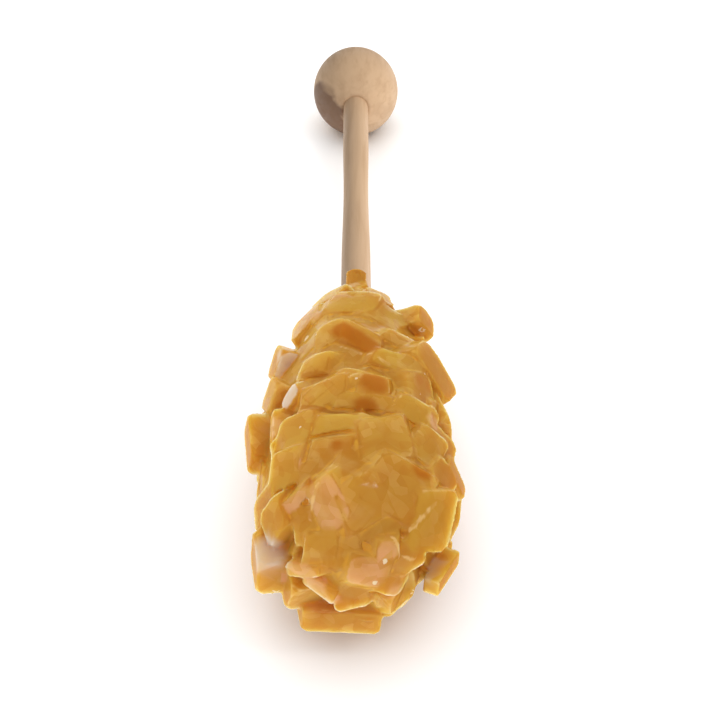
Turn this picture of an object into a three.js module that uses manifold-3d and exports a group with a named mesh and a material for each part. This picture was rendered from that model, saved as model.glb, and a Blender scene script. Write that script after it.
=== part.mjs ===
// Rock candy stick: a slim wooden dowel with a turned ball at one end and a cluster of amber sugar crystals
// grown round the other. It lies on a table on its ball and its crystals, so the dowel rises a little towards
// the candy.
// Units are millimetres. +Z is up, the ball is at the +Y end and the candy at the -Y end.
// The origin is under the middle of the whole stick's box, on the table.
//
// The shapes are worked out in the stick's own frame: +Y runs along the dowel's middle towards the ball, +Z
// is the side that lies uppermost, and the origin is in the ball. A place on the candy is given there as
//   along   distance from the candy's neck towards its tip
//   around  angle about the dowel in degrees, 0 on top and 90 on the +X side
//   out     distance from the dowel's middle
import * as THREE from "three";
import { ConvexGeometry } from "three/addons/geometries/ConvexGeometry.js";
import { mergeVertices } from "three/addons/utils/BufferGeometryUtils.js";
import Module from "manifold-3d";

// ---- Driving dimensions ----
const ballDiameter = 16;
const ballLength = 18; // along the dowel: the ball is turned a little longer than it is wide
const dowelDiameter = 4.5;
const candyNeck = 64; // ball's centre to where the candy starts
const candyLength = 57;
const candyRadius = 13.3; // to the outer faces of the crystals, at the widest

// ---- What follows from them, and small fits ----
const ballRadius = ballDiameter / 2;
const dowelRadius = dowelDiameter / 2;
const holeLift = 1; // the ball's hole is drilled this far above its centre
const ballFlat = 0.15; // depth of the worn spot that the ball rests on
const seatDepth = 0.9; // how far the lowest crystals are worn flat by the table
const glueGap = 0.3; // room between the dowel and what it is set in
const dowelInBall = 4; // from the ball's centre to the dowel's end in its hole
const dowelInCandy = 44; // how far the dowel runs into the candy
const widest = 0.72; // the share of the candy's length at which it is widest
const dowelHeight = ballRadius - ballFlat + holeLift; // of the dowel's middle, over the ball's middle
const rise = Math.asin((candyRadius - seatDepth - dowelHeight) / (candyNeck + widest * candyLength));

const wasm = await Module();
wasm.setup();

// ---- Joining and cutting ----

// A closed three.js geometry as a solid that can be joined and cut
function solid(geometry, matrix = new THREE.Matrix4()) {
  const bare = new THREE.BufferGeometry();
  bare.setAttribute("position", geometry.getAttribute("position").clone());
  bare.setIndex(geometry.index);
  bare.applyMatrix4(matrix);
  const merged = mergeVertices(bare, 1e-4);
  return new wasm.Manifold(
    new wasm.Mesh({
      numProp: 3,
      vertProperties: merged.attributes.position.array,
      triVerts: new Uint32Array(merged.index.array),
    }),
  );
}

// The solid's largest body, without loose scraps and with any closed hollow inside it filled
function oneBody(manifold) {
  const bodies = manifold.decompose();
  return bodies.reduce((best, body) => (body.volume() > best.volume() ? body : best));
}

function geometryOf(manifold) {
  const { vertProperties, triVerts } = manifold.getMesh();
  const geometry = new THREE.BufferGeometry();
  geometry.setAttribute("position", new THREE.BufferAttribute(vertProperties, 3));
  geometry.setIndex(new THREE.BufferAttribute(triVerts, 1));
  const faceted = geometry.toNonIndexed();
  faceted.computeVertexNormals();
  return faceted;
}

// ---- Outlines and places ----

// Distance from the dowel's middle to the candy's outer surface: a long drop with its blunt end at the tip
function candyOutline(along) {
  const share = along / candyLength;
  const towardsTip = share > widest;
  const reach = towardsTip ? (share - widest) / (1.07 - widest) : (widest - share) / (widest + 0.02);
  const roundness = towardsTip ? 2.4 : 1.75;
  return candyRadius * Math.max(0, 1 - reach ** roundness) ** (1 / roundness);
}

// How much less the candy reaches out low down at its tip, most of all on the +X side
function tipHollow(along, around) {
  const facing = (angle) => Math.max(0, Math.cos(THREE.MathUtils.degToRad(around - angle)));
  return THREE.MathUtils.smoothstep(along, 42, 52) * (4.6 * facing(125) + 3 * facing(-140));
}

// The angle by which the candy's surface faces the tip rather than straight out, in degrees
function outlineLean(along) {
  const step = 1;
  const before = candyOutline(Math.max(0, along - step));
  const after = candyOutline(Math.min(candyLength, along + step));
  return THREE.MathUtils.radToDeg(Math.atan2(before - after, 2 * step));
}

// Sets a block on the candy with its +Z facing out and its origin at the place. lean tips that face towards
// the candy's tip, roll tips it towards larger around, and spin turns the block about the way it faces.
function placed({ along, around, out, spin = 0, lean = 0, roll = 0 }) {
  const turn = (axis, degrees) => {
    const rotation = `makeRotation${axis}`;
    return new THREE.Matrix4()[rotation](THREE.MathUtils.degToRad(degrees));
  };
  return turn("Y", around)
    .setPosition(
      out * Math.sin(THREE.MathUtils.degToRad(around)),
      -(candyNeck + along),
      out * Math.cos(THREE.MathUtils.degToRad(around)),
    )
    .multiply(turn("X", lean))
    .multiply(turn("Y", roll))
    .multiply(turn("Z", spin));
}

// Repeatable numbers from 0 to 1, so that the candy is the same each time it is built
function randomSource(seed) {
  let state = seed;
  return () => {
    state = (state * 1664525 + 1013904223) % 4294967296;
    return state / 4294967296;
  };
}

// ---- Crystals ----

// One sugar crystal: a slanted block with the corners of its outer face worn off. The middle of that face is
// at the origin. wide goes round the dowel, long along it and thick in from that face.
function crystal(wide, long, thick, worn, slant = 0.2) {
  const points = [];
  for (const x of [-0.5, 0.5]) {
    for (const y of [-0.5, 0.5]) {
      points.push(new THREE.Vector3(x * wide + slant * y * long, y * long, -thick));
      for (const axis of ["x", "y", "z"]) {
        const cut = { x: 0, y: 0, z: 0, [axis]: worn };
        const px = x * (wide - 2 * cut.x);
        const py = y * (long - 2 * cut.y);
        points.push(new THREE.Vector3(px + slant * py, py, -cut.z));
      }
    }
  }
  return new ConvexGeometry(points);
}

// The crystals that give the candy its own shape: where the middle of each one's outer face is, its size
// (wide, long, thick), and how it is turned
const largeCrystals = [
  // round the neck
  { along: 7.8, around: 30, out: 6.8, size: [4.2, 4.8, 4], spin: 10, lean: -20 },
  { along: 7.4, around: -34, out: 6.9, size: [4.4, 4.6, 4], spin: -15, lean: -22 },
  { along: 12.3, around: -2, out: 8.9, size: [7.4, 7, 5], spin: -4, lean: -14 },
  { along: 13.5, around: -50, out: 9.4, size: [5.5, 5.6, 5], spin: 25, lean: -12 },
  { along: 12.4, around: 62, out: 11.2, size: [4.8, 4.4, 6], spin: 5 },
  // the upper half, from one side over the top to the other
  { along: 21, around: -66, out: 12, size: [4.6, 4.6, 5.5], spin: 45 },
  { along: 28, around: -64, out: 12.6, size: [4.4, 4.4, 5.5], spin: 45 },
  { along: 20.9, around: -20, out: 11.1, size: [4.6, 4.4, 4], spin: 12, lean: 8, roll: -8 },
  { along: 22.8, around: 3, out: 11.5, size: [6.6, 3.9, 4], spin: -38, lean: 4, slant: -0.5 },
  { along: 21.4, around: 31, out: 11.2, size: [4.6, 3.6, 4], spin: -14, lean: 6, roll: 4 },
  { along: 24.3, around: 58, out: 12.6, size: [9, 6.4, 6], spin: -22 },
  { along: 27.6, around: -27, out: 12.2, size: [5, 4.4, 4], spin: -8, lean: 6, roll: -6 },
  { along: 27.4, around: 22, out: 12.2, size: [5.4, 3.6, 4], spin: -10, lean: 8, roll: 2 },
  { along: 32.4, around: -42, out: 12.8, size: [3.6, 3.2, 4], spin: 32, lean: 4, roll: -16 },
  { along: 34.6, around: -19, out: 13, size: [6.4, 4.8, 4], spin: 6, lean: 6, roll: -4 },
  { along: 32.3, around: -6, out: 12.8, size: [4, 4.6, 4], spin: -20, lean: 6 },
  { along: 33.6, around: 10, out: 13.1, size: [4.2, 4.3, 4], spin: 4, lean: 3 },
  { along: 36.7, around: 4, out: 12.8, size: [6.8, 2.2, 4], spin: -2, lean: 20 },
  { along: 28.8, around: 36, out: 12.1, size: [4.6, 4.4, 4], spin: 12, lean: 8 },
  // the widest part
  { along: 34.4, around: -78, out: 14.1, size: [3.6, 6.4, 5.5], lean: 10 },
  { along: 36.8, around: -53, out: 13.2, size: [1.8, 5.4, 4], spin: 2, lean: 6, roll: -24 },
  { along: 39.9, around: -35, out: 13.3, size: [5.4, 5.6, 4], spin: -6, lean: 8 },
  { along: 40.5, around: -10, out: 13.3, size: [5.6, 3.2, 4], spin: 1, lean: 10 },
  { along: 42.8, around: 15, out: 13.3, size: [6.8, 6.4, 4], spin: 22, lean: 10 },
  { along: 36.5, around: 35, out: 13.1, size: [6, 4.6, 4], spin: -9, lean: 9 },
  { along: 35.9, around: 48, out: 13.1, size: [2.4, 4.4, 4], spin: -6, lean: 6, roll: 22 },
  { along: 39, around: 52, out: 13.1, size: [6, 5, 5], spin: -5 },
  { along: 41.7, around: 41, out: 13.3, size: [4.6, 6, 4], spin: -12, lean: 10 },
  { along: 42, around: 68, out: 13.3, size: [5.5, 3.2, 5], spin: -10 },
  { along: 44.7, around: 53, out: 13.2, size: [4.6, 4, 4], spin: -16, lean: 12, roll: 6 },
  { along: 44.5, around: -13, out: 13.2, size: [5.2, 2.8, 4], spin: -4, lean: 20 },
  { along: 45.2, around: -41, out: 13.1, size: [4.8, 5, 4], spin: -8, lean: 22 },
  { along: 47.6, around: -62, out: 12.4, size: [5, 4, 5], lean: 14 },
  { along: 47.4, around: -22, out: 12, size: [5, 4.4, 4], spin: 20, lean: 22 },
  { along: 52.6, around: -32, out: 9.9, size: [4.4, 4.4, 4], spin: -12, lean: 40 },
  // the shoulder above the tip
  { along: 50.5, around: -55, out: 11.9, size: [4.6, 4.2, 4], spin: 8, lean: 26, roll: -6 },
  { along: 50.2, around: -37, out: 12, size: [5.4, 1.7, 4], spin: 16, lean: 44 },
  { along: 51.9, around: -16, out: 11.8, size: [4.4, 6.4, 5], spin: 28, lean: 44, roll: -16 },
  { along: 51.9, around: 3, out: 11.6, size: [5.6, 5.6, 5], spin: 34, lean: 36, roll: 12 },
  { along: 49.3, around: 23, out: 12.3, size: [7.6, 7.4, 5], spin: -14, lean: 24 },
  { along: 51.2, around: 50, out: 11.6, size: [6.2, 7.2, 5], spin: 30, lean: 38 },
  { along: 49.9, around: 91, out: 11.4, size: [2.6, 2, 5.6], lean: -60 },
  { along: 50.8, around: 80, out: 9.6, size: [4, 4.6, 4], spin: 10, lean: 34 },
  { along: 52.1, around: -84, out: 12, size: [5.6, 4.8, 6], lean: 12 },
  // the tip
  { along: 55.2, around: -31, out: 8.1, size: [4.4, 4.4, 4], spin: -20, lean: 50 },
  { along: 55.2, around: -9, out: 7.6, size: [3.6, 4, 4], spin: 20, lean: 55, roll: 4 },
  { along: 57.4, around: 13, out: 5.9, size: [5, 4, 5], spin: 4, lean: 62 },
  { along: 53.6, around: 14, out: 9, size: [4.4, 3.4, 4], spin: -16, lean: 46 },
  { along: 56, around: -40, out: 4.4, size: [3.6, 3.4, 4], spin: 8, lean: 62 },
  { along: 55.8, around: 25, out: 8.7, size: [3, 2.6, 4], spin: 24, lean: 54, roll: 4 },
  { along: 55.2, around: 44, out: 8.2, size: [4, 4, 5], spin: -20, lean: 45 },
  { along: 56.2, around: -54, out: 7.5, size: [5.2, 1.6, 4], spin: -34, lean: 56, roll: -14 },
  { along: 57, around: -61, out: 4.9, size: [1.8, 4.2, 4], spin: 12, lean: 66, roll: -6 },
  { along: 57, around: 54, out: 5.6, size: [3.2, 3, 4], spin: 30, lean: 50, roll: 16 },
  { along: 56.5, around: 90, out: 3.6, size: [3.4, 3, 4], spin: 10, lean: 62, roll: 12 },
  { along: 57, around: -33, out: 1.3, size: [4.6, 3.6, 4], spin: -8, lean: 74 },
  { along: 55.2, around: 100, out: 5.2, size: [5, 4.6, 5], spin: 20, lean: 30 },
  { along: 53.5, around: -162, out: 7.6, size: [9.4, 5, 4], roll: -14 },
];

// The crystals that fill in between, spread evenly by turning through the golden angle from each to the next
const fillerCount = 130;
const goldenAngle = 137.5078;
const clearance = 3; // least distance from a filling crystal's middle to a large one's
function fillerCrystals() {
  const random = randomSource(11);
  const between = (low, high) => low + (high - low) * random();
  const middleOf = (block) => new THREE.Vector3().setFromMatrixPosition(placed(block));
  const taken = largeCrystals.map(middleOf);
  const blocks = Array.from({ length: fillerCount }, (_, i) => {
    const along = 3 + (candyLength - 5) * ((i + 0.5) / fillerCount);
    const around = ((i * goldenAngle + 180) % 360) - 180;
    const surface = candyOutline(along) - tipHollow(along, around);
    const wide = between(0.3, 0.46) * surface + 1.6;
    const size = [wide, wide * between(0.9, 1.3), wide * between(0.8, 1)];
    const sunk = Math.abs(around) < 100 ? between(0.5, 1.5) : between(0.3, 1.5);
    const spin = between(-30, 30);
    const lean = outlineLean(along) + between(-12, 12);
    const roll = between(-14, 14);
    return { along, around, out: Math.max(1, surface - sunk), size, spin, lean, roll };
  });
  return blocks.filter((block) => taken.every((place) => place.distanceTo(middleOf(block)) > clearance));
}

// A tongue of sugar that has crept up the dowel past the neck, on the side that lies uppermost
function creptSugar() {
  const reach = 7;
  const halfWidth = 1.9;
  const thickness = 0.75;
  const tongue = new THREE.CylinderGeometry(halfWidth, halfWidth, reach, 16);
  const height = dowelRadius + thickness - halfWidth;
  return solid(tongue, new THREE.Matrix4().makeTranslation(0, -candyNeck + 2.5 - reach / 2, height));
}

// ---- The three pieces, each in the stick's frame ----

// The floor below the stick, in the stick's frame: what it takes off gives the pieces their flats
function floorSolid(stickFrame) {
  const depth = 20;
  const floor = new THREE.BoxGeometry(400, 400, depth);
  const toStick = stickFrame.clone().invert();
  return solid(floor, toStick.multiply(new THREE.Matrix4().makeTranslation(0, 0, -depth / 2)));
}

// Room for the dowel, from one place on its length to another
function bore(fromY, toY) {
  const hole = new THREE.CylinderGeometry(dowelRadius + glueGap, dowelRadius + glueGap, toY - fromY, 24);
  return solid(hole, new THREE.Matrix4().makeTranslation(0, (fromY + toY) / 2, 0));
}

function makeCandy(stickFrame) {
  const coreShare = 0.87; // the solid middle's radius, as a share of the candy's
  const coreShareAtTip = 0.64;
  const steps = 16;
  const profile = [new THREE.Vector2(0, 1.5)];
  for (let i = 0; i <= steps; i += 1) {
    const along = 1.5 + ((candyLength - 4) * i) / steps;
    const share = THREE.MathUtils.lerp(coreShare, coreShareAtTip, THREE.MathUtils.smoothstep(along, 40, 52));
    profile.push(new THREE.Vector2(Math.max(3.2, candyOutline(along) * share), along));
  }
  profile.push(new THREE.Vector2(0, candyLength - 2.5));
  const core = new THREE.LatheGeometry(profile, 20);
  const neckToTip = new THREE.Matrix4().makeRotationX(Math.PI).setPosition(0, -candyNeck, 0);
  let candy = solid(core, neckToTip).add(creptSugar());
  for (const block of [...largeCrystals, ...fillerCrystals()]) {
    const worn = Math.min(...block.size) * 0.2;
    candy = candy.add(solid(crystal(...block.size, worn, block.slant), placed(block)));
  }
  const room = bore(-(candyNeck + dowelInCandy + glueGap), -candyNeck + 12);
  return oneBody(oneBody(candy).subtract(room).subtract(floorSolid(stickFrame)));
}

function makeBall(stickFrame) {
  const ball = new THREE.SphereGeometry(ballRadius, 32, 20);
  ball.scale(1, ballLength / ballDiameter, 1);
  const hole = bore(-ballDiameter, dowelInBall + glueGap);
  const turned = solid(ball, new THREE.Matrix4().makeTranslation(0, 0, -holeLift));
  return oneBody(turned.subtract(hole).subtract(floorSolid(stickFrame)));
}

// The dowel has a slight waist, between the ball and the middle of its bare length
function makeDowel() {
  const length = dowelInBall + candyNeck + dowelInCandy;
  const waist = { from: 20, to: 56, depth: 0.2 };
  const steps = 8;
  const profile = [new THREE.Vector2(0, 0), new THREE.Vector2(dowelRadius, 0)];
  for (let i = 0; i <= steps; i += 1) {
    const fromBall = THREE.MathUtils.lerp(waist.from, waist.to, i / steps);
    const drawnIn = waist.depth * Math.sin((Math.PI * i) / steps) ** 2;
    profile.push(new THREE.Vector2(dowelRadius - drawnIn, dowelInBall + fromBall));
  }
  profile.push(new THREE.Vector2(dowelRadius, length), new THREE.Vector2(0, length));
  const fromBallToTip = new THREE.Matrix4().makeRotationX(Math.PI).setPosition(0, dowelInBall, 0);
  return solid(new THREE.LatheGeometry(profile, 24), fromBallToTip);
}

// ---- The stick as it lies ----
const stick = new THREE.Group();
stick.rotation.x = -rise;
stick.position.z = dowelHeight;
stick.updateMatrix();

function addPiece(name, manifold, material) {
  const mesh = new THREE.Mesh(geometryOf(manifold), material);
  mesh.name = name;
  stick.add(mesh);
}

const sugar = new THREE.MeshStandardMaterial({ color: 0xc79248, roughness: 0.3, metalness: 0 });
const wood = new THREE.MeshStandardMaterial({ color: 0xc8a988, roughness: 0.6, metalness: 0 });
addPiece("candy", makeCandy(stick.matrix), sugar);
addPiece("dowel", makeDowel(), wood.clone());
addPiece("ball", makeBall(stick.matrix), wood);

const rockCandyStick = new THREE.Group();
rockCandyStick.add(stick);
rockCandyStick.updateMatrixWorld(true);
const middle = new THREE.Box3().setFromObject(rockCandyStick, true).getCenter(new THREE.Vector3());
stick.position.x -= middle.x;
stick.position.y -= middle.y;

export default rockCandyStick;
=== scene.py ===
"""Rock candy stick: amber sugar crystals on a wooden dowel with a turned ball, lying on a pale floor.

The sugar keeps the form of the solid model and gets small crystals fused on, softened edges and cloudy amber
colours. The dowel and the ball are turned anew as smooth wood. Lengths are in metres.
"""

import math

import bmesh
import bpy
import numpy as np
from bpy.props import FloatProperty, FloatVectorProperty, IntProperty, PointerProperty
from mathutils import Matrix, Vector
from mathutils.bvhtree import BVHTree
from mathutils.kdtree import KDTree


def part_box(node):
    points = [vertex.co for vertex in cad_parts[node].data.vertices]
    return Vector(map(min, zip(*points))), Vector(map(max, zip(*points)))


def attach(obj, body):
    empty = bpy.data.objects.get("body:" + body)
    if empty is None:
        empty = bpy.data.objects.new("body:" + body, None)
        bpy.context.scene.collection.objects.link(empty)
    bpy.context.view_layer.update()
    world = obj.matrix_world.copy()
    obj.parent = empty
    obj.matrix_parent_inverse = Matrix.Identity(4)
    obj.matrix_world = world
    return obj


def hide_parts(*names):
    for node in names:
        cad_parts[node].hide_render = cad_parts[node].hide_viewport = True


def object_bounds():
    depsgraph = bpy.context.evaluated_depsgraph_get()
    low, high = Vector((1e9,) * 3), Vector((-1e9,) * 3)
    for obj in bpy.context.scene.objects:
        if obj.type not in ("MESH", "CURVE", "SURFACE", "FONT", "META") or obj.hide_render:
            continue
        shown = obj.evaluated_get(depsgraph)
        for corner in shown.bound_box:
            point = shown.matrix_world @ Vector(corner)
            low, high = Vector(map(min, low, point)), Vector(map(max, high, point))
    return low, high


bl_info = {
    "name": "Rock Candy Stick",
    "version": (1, 0, 0),
    "blender": (4, 5, 0),
    "location": "View3D > Sidebar > Rock Candy",
    "description": "Builds a rock candy stick over its solid model",
    "category": "Add Mesh",
}

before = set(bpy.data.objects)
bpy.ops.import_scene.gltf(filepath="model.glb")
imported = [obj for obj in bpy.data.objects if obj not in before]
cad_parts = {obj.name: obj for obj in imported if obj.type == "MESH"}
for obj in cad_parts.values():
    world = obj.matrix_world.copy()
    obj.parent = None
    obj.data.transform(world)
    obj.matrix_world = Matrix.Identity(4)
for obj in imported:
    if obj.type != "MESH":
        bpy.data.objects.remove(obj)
SOLID_LOW, SOLID_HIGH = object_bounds()

MM = 0.001
ROOT = "root"
CANDY_LOW, CANDY_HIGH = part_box("candy")
DOWEL_LOW, DOWEL_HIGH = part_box("dowel")
BALL_LOW, BALL_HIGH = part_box("ball")

# The ball's own sizes, from its solid: it is round across the dowel and a little longer along it
BALL_STRETCH = 18 / 16
BALL_WIDTH = BALL_HIGH.x - BALL_LOW.x
BALL_LENGTH = BALL_WIDTH * BALL_STRETCH
BALL_MIDDLE = Vector((
    (BALL_LOW.x + BALL_HIGH.x) / 2,
    BALL_HIGH.y - BALL_LENGTH / 2,
    BALL_HIGH.z - BALL_WIDTH / 2,
))
DOWEL_WIDTH = DOWEL_HIGH.x - DOWEL_LOW.x
CANDY_NECK = 64 * MM  # from the ball's middle to where the candy starts


def dowel_line():
    """Where the dowel's middle starts in the ball, and the way it runs from there to the candy's tip."""
    radius = DOWEL_WIDTH / 2
    length_along = DOWEL_HIGH.y - DOWEL_LOW.y
    rise = DOWEL_HIGH.z - DOWEL_LOW.z - 2 * radius
    slope = math.asin(rise / math.hypot(length_along, rise))
    start = Vector((
        (DOWEL_LOW.x + DOWEL_HIGH.x) / 2,
        DOWEL_HIGH.y - radius * math.sin(slope),
        DOWEL_LOW.z + radius * math.cos(slope),
    ))
    return start, Vector((0, -math.cos(slope), math.sin(slope)))


DOWEL_START, DOWEL_WAY = dowel_line()
CANDY_START = DOWEL_START + DOWEL_WAY * ((DOWEL_START.y - BALL_MIDDLE.y) / -DOWEL_WAY.y + CANDY_NECK)


# ---- Settings ----

class CandySettings(bpy.types.PropertyGroup):
    """Sizes and colours of the sugar."""

    grain_step: FloatProperty(
        name="Surface step", description="Size of the cells in which the sugar is fused",
        default=0.2 * MM, min=0.1 * MM, max=1 * MM, unit="LENGTH", precision=5,
    )
    softness: IntProperty(
        name="Softness", description="How many times the crystals' edges are eased",
        default=1, min=0, max=40,
    )
    chip_size: FloatProperty(
        name="Small crystal", description="Typical size of the crystals that grow between the large ones",
        default=2.0 * MM, min=0.2 * MM, max=5 * MM, unit="LENGTH", precision=5,
    )
    chip_spacing: FloatProperty(
        name="Small crystal spacing", description="Least distance between small crystals",
        default=2.4 * MM, min=1 * MM, max=10 * MM, unit="LENGTH", precision=5,
    )
    pressing: FloatProperty(
        name="Pressing", description="How much of the relief has grown shut on the uppermost side",
        default=0.78, min=0, max=1,
    )
    plate_size: FloatProperty(
        name="Growth step", description="Typical width of the thin steps that grow on the crystals' faces",
        default=4.2 * MM, min=0.5 * MM, max=10 * MM, unit="LENGTH", precision=5,
    )
    plate_spacing: FloatProperty(
        name="Growth step spacing", description="Least distance between growth steps",
        default=4.6 * MM, min=1 * MM, max=20 * MM, unit="LENGTH", precision=5,
    )
    seed: IntProperty(name="Seed", description="Which way the small crystals happen to lie", default=4, min=0)
    amber: FloatVectorProperty(
        name="Amber", description="Colour of the sugar where it is thick",
        default=(0.525, 0.228, 0.026), subtype="COLOR", size=3, min=0, max=1,
    )
    mustard: FloatVectorProperty(
        name="Mustard", description="Colour of the sugar's flat outer faces",
        default=(0.58, 0.305, 0.045), subtype="COLOR", size=3, min=0, max=1,
    )
    honey: FloatVectorProperty(
        name="Honey", description="Colour of the sugar at thin edges",
        default=(0.72, 0.43, 0.12), subtype="COLOR", size=3, min=0, max=1,
    )


class WoodSettings(bpy.types.PropertyGroup):
    """Sizes and colours of the dowel and the ball."""

    rim: FloatProperty(
        name="Hole rim", description="Width of the eased rim where the dowel enters the ball",
        default=0.5 * MM, min=0, max=2 * MM, unit="LENGTH", precision=5,
    )
    pale: FloatVectorProperty(
        name="Pale wood", description="Colour of the wood between its grain lines",
        default=(0.55, 0.37, 0.225), subtype="COLOR", size=3, min=0, max=1,
    )
    dark: FloatVectorProperty(
        name="Dark grain", description="Colour of the wood in its grain lines",
        default=(0.42, 0.265, 0.15), subtype="COLOR", size=3, min=0, max=1,
    )
    # Colour of the painted shade on the ball's shaded side
    shade_patch: FloatVectorProperty(
        name="Shade patch", description="Colour of the darker patch of painted shade on the ball",
        default=(0.17, 0.085, 0.042), subtype="COLOR", size=3, min=0, max=1,
    )


class StageSettings(bpy.types.PropertyGroup):
    """The floor, the camera and the lights."""

    elevation: FloatProperty(
        name="Camera elevation", description="How far the camera looks down",
        default=math.radians(43), subtype="ANGLE",
    )
    lens: FloatProperty(name="Lens", description="Focal length in millimetres", default=60.8, min=10, max=300)
    floor_colour: FloatVectorProperty(
        name="Floor", description="Colour of the floor", default=(0.95, 0.95, 0.95), subtype="COLOR", size=3,
    )


# ---- Node helpers ----

def add_node(tree, kind, inputs=None, **settings):
    """Adds a node with its settings, and links or sets its inputs by name or number."""
    node = tree.nodes.new(kind)
    for name, value in settings.items():
        setattr(node, name, value)
    for name, value in (inputs or {}).items():
        if isinstance(value, bpy.types.NodeSocket):
            tree.links.new(value, node.inputs[name])
        else:
            node.inputs[name].default_value = value
    return node


def new_material(name):
    """A material with an empty node tree."""
    material = bpy.data.materials.new(name)
    material.use_nodes = True
    material.node_tree.nodes.clear()
    return material


def finish_material(tree, shader):
    """Links a shader to the material's output."""
    output = tree.nodes.new("ShaderNodeOutputMaterial")
    tree.links.new(shader.outputs[0], output.inputs["Surface"])


def mixed(tree, share, first, second):
    """The colour between two others."""
    node = tree.nodes.new("ShaderNodeMix")
    node.data_type = "RGBA"
    node.clamp_factor = True
    sockets = {"factor": node.inputs[0], "first": node.inputs[6], "second": node.inputs[7]}
    for key, value in (("factor", share), ("first", first), ("second", second)):
        if isinstance(value, bpy.types.NodeSocket):
            tree.links.new(value, sockets[key])
        else:
            sockets[key].default_value = value
    return node.outputs[2]


def ranged(tree, value, low, high, to_low=0.0, to_high=1.0):
    """Stretches a value's range smoothly to another."""
    node = add_node(tree, "ShaderNodeMapRange", {
        "Value": value, "From Min": low, "From Max": high, "To Min": to_low, "To Max": to_high,
    }, interpolation_type="SMOOTHSTEP")
    return node.outputs["Result"]


def rgba(colour):
    """A colour with its alpha."""
    return (*colour, 1.0)


def noise(tree, place, scale, detail=3.0, roughness=0.5, distortion=0.0):
    """Soft noise, from 0 to 1."""
    node = add_node(tree, "ShaderNodeTexNoise", {
        "Vector": place, "Scale": scale, "Detail": detail, "Roughness": roughness, "Distortion": distortion,
    })
    return node.outputs["Fac"]


def attribute(tree, name):
    """A value that is stored at each point of a mesh."""
    return add_node(tree, "ShaderNodeAttribute", attribute_name=name).outputs["Fac"]


def product(tree, first, second):
    """One value times another."""
    return add_node(tree, "ShaderNodeMath", {0: first, 1: second}, operation="MULTIPLY").outputs[0]


# ---- Materials ----

# Colours that show only in some places of the sugar
ORANGE = (0.46, 0.15, 0.01, 1)  # where its inside shows
EMBER = (0.5, 0.195, 0.018, 1)  # warm clouds and chips in it
STRAW = (0.66, 0.40, 0.12, 1)  # pale clouds in it
LEMON = (0.58, 0.325, 0.035, 1)  # its most yellow places
FLANK_SHADE = (0.45, 0.16, 0.012, 1)  # painted shade where it faces the sides
HOLLOW_LIGHT = (0.74, 0.42, 0.05, 1)  # painted light in its hollows, against their shade
EDGE_HIGHLIGHT = (0.80, 0.52, 0.2, 1)  # painted highlights along stretches of its edges
RUST = (0.45, 0.17, 0.014, 1)  # dark stretches of its edges
CRACK = (0.43, 0.15, 0.012, 1)
# Painted highlight lines along rims
RIM_HIGHLIGHT = (0.84, 0.58, 0.24, 1)
PINK_REFLECTION = (0.70, 0.38, 0.18, 1)  # painted pale pink reflections
WHITE_REFLECTION = (0.62, 0.48, 0.37, 1)  # painted white reflections
PAINTED_GLINT = (0.86, 0.72, 0.48, 1)  # painted glints on its corners
CARAMEL = (0.50, 0.21, 0.02, 1)  # the tongue on the dowel

STAINED_WOOD = (0.60, 0.40, 0.23, 1)


def cell_numbers(tree, cells):
    """The three random numbers that each cell has."""
    return add_node(tree, "ShaderNodeSeparateColor", {"Color": cells.outputs["Color"]}).outputs


def sugar_inside(tree, settings, place, chance, chip, cloud, haze):
    """The sugar's own colour: each face and each cell has its own tone, with clouds between them."""
    amber, mustard, honey = rgba(settings.amber), rgba(settings.mustard), rgba(settings.honey)
    ember = noise(tree, place, 110, detail=3, distortion=1.5)
    colour = mixed(tree, ranged(tree, attribute(tree, "tone"), 0.3, 0.9), mustard, amber)
    colour = mixed(tree, ranged(tree, chance[0], 0.35, 0.9, 0.0, 0.55), colour, amber)
    colour = mixed(tree, ranged(tree, chance[1], 0.7, 1.0, 0.0, 0.3), colour, honey)
    colour = mixed(tree, ranged(tree, cloud, 0.45, 0.68, 0.0, 0.4), colour, amber)
    colour = mixed(tree, ranged(tree, haze, 0.52, 0.66, 0.0, 0.35), colour, STRAW)
    colour = mixed(tree, ranged(tree, ember, 0.53, 0.64, 0.0, 0.4), colour, EMBER)
    colour = mixed(tree, ranged(tree, chip[0], 0.65, 0.95, 0.0, 0.3), colour, honey)
    return mixed(tree, ranged(tree, chip[1], 0.6, 0.9, 0.0, 0.36), colour, EMBER)


def sugar_relief(tree, place, colour):
    """The colour with rusty stretches and painted highlights along the edges, and painted light in the
    hollows.
    """
    ridge = attribute(tree, "ridge")
    broken = noise(tree, place, 230, detail=2)
    rust = product(tree, ranged(tree, ridge, 0.06, 0.3), ranged(tree, broken, 0.52, 0.42, 0.0, 0.65))
    # Painted highlights: pale broken lines along the ridges
    rim = product(tree, ranged(tree, ridge, 0.12, 0.4), ranged(tree, broken, 0.57, 0.66, 0.0, 0.65))
    colour = mixed(tree, rust, colour, RUST)
    colour = mixed(tree, rim, colour, EDGE_HIGHLIGHT)
    # Painted light: where the stored edge value is low, in the hollows, the colour turns paler and more
    # yellow against the shade there
    return mixed(tree, ranged(tree, attribute(tree, "edge"), 0.44, 0.15, 0.0, 0.7), colour, HOLLOW_LIGHT)


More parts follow.
